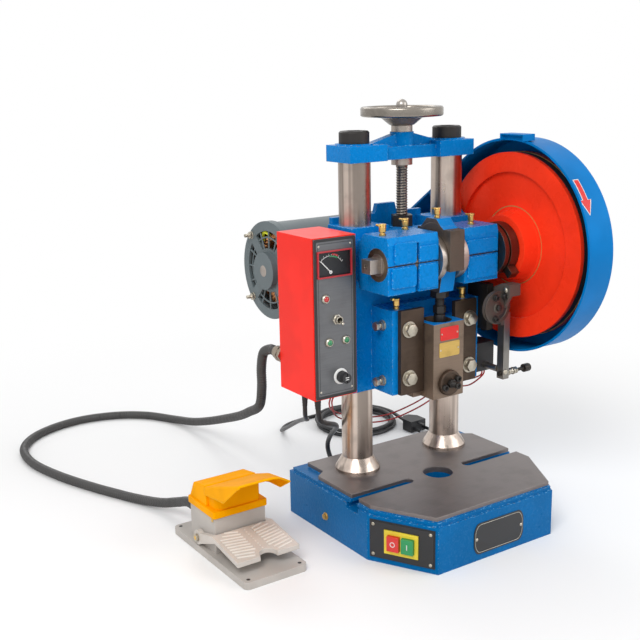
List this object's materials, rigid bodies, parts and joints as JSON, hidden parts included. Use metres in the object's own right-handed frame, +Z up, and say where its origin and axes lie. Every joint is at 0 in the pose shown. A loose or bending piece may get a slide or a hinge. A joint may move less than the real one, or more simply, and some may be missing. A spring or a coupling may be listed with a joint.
{
  "type": "bench punch press",
  "caption": "Bench punch press with cast base, columns, height-adjustable crank head, ram, belt-driven flywheel, control box and foot pedal.",
  "frame": {"origin": "axis of the die hole, at the underside of the base", "axes": "+X along the crankshaft to the flywheel, +Y to the back, +Z up"},
  "size_m": [0.7043, 0.9564, 0.648],
  "materials": {
    "blue_casting": "hammered",
    "steel_plate": "ground",
    "chrome": "polished",
    "black_oxide": "blackened",
    "bronze": "machined",
    "grey_iron": "machined",
    "red_paint": "gloss",
    "orange_paint": "gloss",
    "motor_paint": "matt",
    "panel_alloy": "brushed",
    "black_plastic": "moulded",
    "yellow_plastic": "moulded",
    "green_plastic": "moulded",
    "red_plastic": "moulded",
    "rubber": "matt",
    "grey_pedal": "cast",
    "pedal_yellow": "moulded",
    "conduit_grey": "ribbed",
    "white_plastic": "plain",
    "red_wire": "plain"
  },
  "bodies": {
    "base": {"base_casting": "blue_casting", "columns": "chrome", "bridge": "blue_casting", "bridge_screws": "black_oxide", "switch_plate": "black_plastic", "switch_bezel": "yellow_plastic", "pedal_base": "grey_pedal", "pedal_hood": "pedal_yellow", "treadle_pin": "bronze", "foot_conduit": "conduit_grey", "mains_lead": "rubber", "mains_coil": "rubber", "mains_plug": "black_plastic", "switch_cable": "rubber"},
    "head": {"head_casting": "blue_casting", "lift_nut": "black_oxide", "main_bushes": "bronze", "oil_cups": "bronze", "gib_plates": "steel_plate", "gib_bolts": "chrome", "head_set_screws": "chrome", "belt_guard": "blue_casting", "motor_plate": "blue_casting", "motor_housing": "motor_paint", "motor_end_cover": "motor_paint", "motor_stator": "grey_iron", "drive_belt": "rubber", "trip_bracket": "black_oxide", "solenoid": "black_plastic", "control_box": "red_paint", "box_panel": "panel_alloy", "voltmeter": "black_plastic", "panel_fittings": "chrome", "conduit_gland": "bronze", "solenoid_leads": "red_wire"},
    "handwheel_and_screw": {"handwheel": "chrome", "lift_screw": "steel_plate", "thrust_collars": "bronze", "dome_nut": "chrome"},
    "crank": {"crankshaft": "steel_plate", "clutch_ring": "grey_iron"},
    "rod": {"connecting_rod": "blue_casting", "rod_cap": "grey_iron", "adjusting_screw": "black_oxide", "rod_lock_nut": "steel_plate"},
    "ram": {"ram": "grey_iron", "shank_clamp": "black_oxide", "shank_screws": "black_oxide"},
    "flywheel": {"flywheel": "orange_paint"},
    "motor_rotor": {"motor_rotor": "steel_plate", "motor_pulley": "grey_iron"},
    "trip_lever": {"trip_lever": "black_oxide", "lever_adjuster": "steel_plate"},
    "solenoid_plunger": {"solenoid_plunger": "steel_plate"},
    "start_button": {"start_button": "green_plastic"},
    "stop_button": {"stop_button": "red_plastic"},
    "toggle_lever": {"toggle_lever": "chrome"},
    "meter_needle": {"meter_needle": "white_plastic"},
    "fuse_cap": {"fuse_cap": "black_plastic"},
    "treadle": {"treadle": "grey_pedal"}
  },
  "joints": [
    {"name": "handwheel_turn", "type": "hinge", "parent": "base", "child": "handwheel_and_screw", "pos_m": [0, 0.09, 0.6], "axis": [0, 0, 1], "range_deg": [-5401, 8101]},
    {"name": "head_slide", "type": "slide", "parent": "base", "child": "head", "axis": [0, 0, 1], "range_m": [-0.09, 0.06], "deforming": ["foot_conduit", "mains_lead", "switch_cable", "solenoid_leads"]},
    {"name": "crank_turn", "type": "hinge", "parent": "head", "child": "crank", "pos_m": [0, 0, 0.423], "axis": [-1, 0, 0], "range_deg": [0, 180]},
    {"name": "rod_swing", "type": "hinge", "parent": "crank", "child": "rod", "pos_m": [0, 0, 0.4355], "axis": [-1, 0, 0], "range_deg": [-180, 0]},
    {"name": "ram_slide", "type": "slide", "parent": "head", "child": "ram", "axis": [0, 0, 1], "range_m": [-0.025, 0]},
    {"name": "flywheel_spin", "type": "hinge", "parent": "head", "child": "flywheel", "pos_m": [0.15, 0, 0.423], "axis": [1, 0, 0], "continuous": true},
    {"name": "motor_spin", "type": "hinge", "parent": "head", "child": "motor_rotor", "pos_m": [0, 0.2, 0.393], "axis": [1, 0, 0], "continuous": true},
    {"name": "trip_swing", "type": "hinge", "parent": "head", "child": "trip_lever", "pos_m": [0.099, -0.004, 0.336], "axis": [1, 0, 0], "range_deg": [0, 6], "stiffness_Nm_per_rad": 3, "springref_deg": -4.58},
    {"name": "plunger_slide", "type": "slide", "parent": "head", "child": "solenoid_plunger", "axis": [0, 1, 0], "range_m": [0, 0.0106]},
    {"name": "start_press", "type": "slide", "parent": "base", "child": "start_button", "axis": [0.877, 0.4805, 0], "range_m": [0, 0.003], "stiffness_N_per_m": 400, "springref_m": -0.002},
    {"name": "stop_press", "type": "slide", "parent": "base", "child": "stop_button", "axis": [0.877, 0.4805, 0], "range_m": [0, 0.003], "stiffness_N_per_m": 400, "springref_m": -0.002},
    {"name": "toggle_flip", "type": "hinge", "parent": "head", "child": "toggle_lever", "pos_m": [-0.166, 0.03, 0.347], "axis": [-1, 0, 0], "range_deg": [0, 24]},
    {"name": "needle_turn", "type": "hinge", "parent": "head", "child": "meter_needle", "pos_m": [-0.174, 0.03, 0.416], "axis": [0, 1, 0], "range_deg": [0, 90], "stiffness_Nm_per_rad": 0.0005},
    {"name": "fuse_turn", "type": "hinge", "parent": "head", "child": "fuse_cap", "pos_m": [-0.161, 0.02, 0.262], "axis": [0, 1, 0], "range_deg": [0, 45]},
    {"name": "treadle_press", "type": "hinge", "parent": "base", "child": "treadle", "pos_m": [-0.302, 0.13, 0.024], "axis": [1, 0, 0], "range_deg": [0, 5], "stiffness_Nm_per_rad": 6, "springref_deg": -5.73}
  ],
  "couplings": [
    {"joint": "handwheel_turn", "follows": "head_slide", "rad_per_m": -1570.8},
    {"joint": "rod_swing", "follows": "crank_turn", "ratio": -1},
    {"joint": "ram_slide", "follows": "crank_turn", "m_per_rad": -0.00795},
    {"joint": "motor_spin", "follows": "flywheel_spin", "ratio": 6.49},
    {"joint": "plunger_slide", "follows": "trip_swing", "m_per_rad": 0.1}
  ]
}
